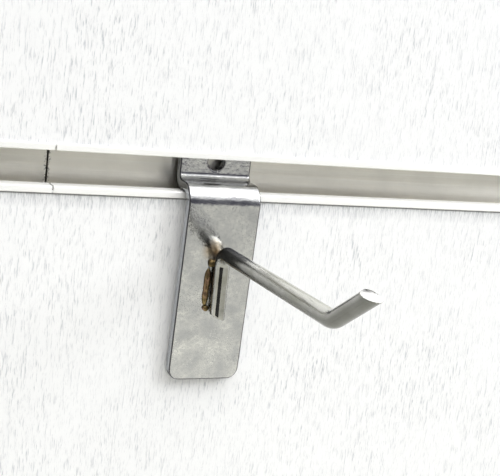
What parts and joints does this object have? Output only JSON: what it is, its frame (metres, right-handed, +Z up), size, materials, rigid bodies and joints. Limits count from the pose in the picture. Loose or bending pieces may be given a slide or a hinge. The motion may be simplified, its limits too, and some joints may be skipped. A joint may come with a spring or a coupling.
{
  "type": "slatwall panel",
  "caption": "White grooved slatwall display panel with aluminium-lined T slots and a sliding chrome peg hook.",
  "frame": {"origin": "centre of the panel's flat back face", "axes": "+X along the grooves to the right seen from the front, +Y into the wall, +Z up"},
  "size_m": [0.6, 0.1257, 0.6],
  "materials": {
    "board": "raw fibreboard",
    "white_laminate": "white laminate with a fine upright wood-grain emboss",
    "back_melamine": "plain balancing sheet",
    "edge_plastic": "satin edge band",
    "aluminium_insert": "mill-finish extrusion with fine drawing lines",
    "bright_plating": "bright plating over rippled steel strip",
    "steel_wire": "dull plated wire",
    "braze": "heat-tinted weld bead"
  },
  "bodies": {
    "panel": {"core": "board", "face_strip_1": "white_laminate", "face_strip_2": "white_laminate", "face_strip_3": "white_laminate", "face_strip_4": "white_laminate", "face_strip_5": "white_laminate", "back_sheet": "back_melamine", "edge_band_top": "edge_plastic", "edge_band_bottom": "edge_plastic", "insert_1_left": "aluminium_insert", "insert_1_right": "aluminium_insert", "insert_2_left": "aluminium_insert", "insert_2_right": "aluminium_insert", "insert_3_left": "aluminium_insert", "insert_3_right": "aluminium_insert", "insert_4_left": "aluminium_insert", "insert_4_right": "aluminium_insert"},
    "hook": {"hook_bracket": "bright_plating", "hook_arm": "steel_wire", "hook_welds": "braze"}
  },
  "joints": [
    {"name": "hook_slide", "type": "slide", "parent": "panel", "child": "hook", "axis": [1, 0, 0], "range_m": [-0.28, 0.28]}
  ]
}
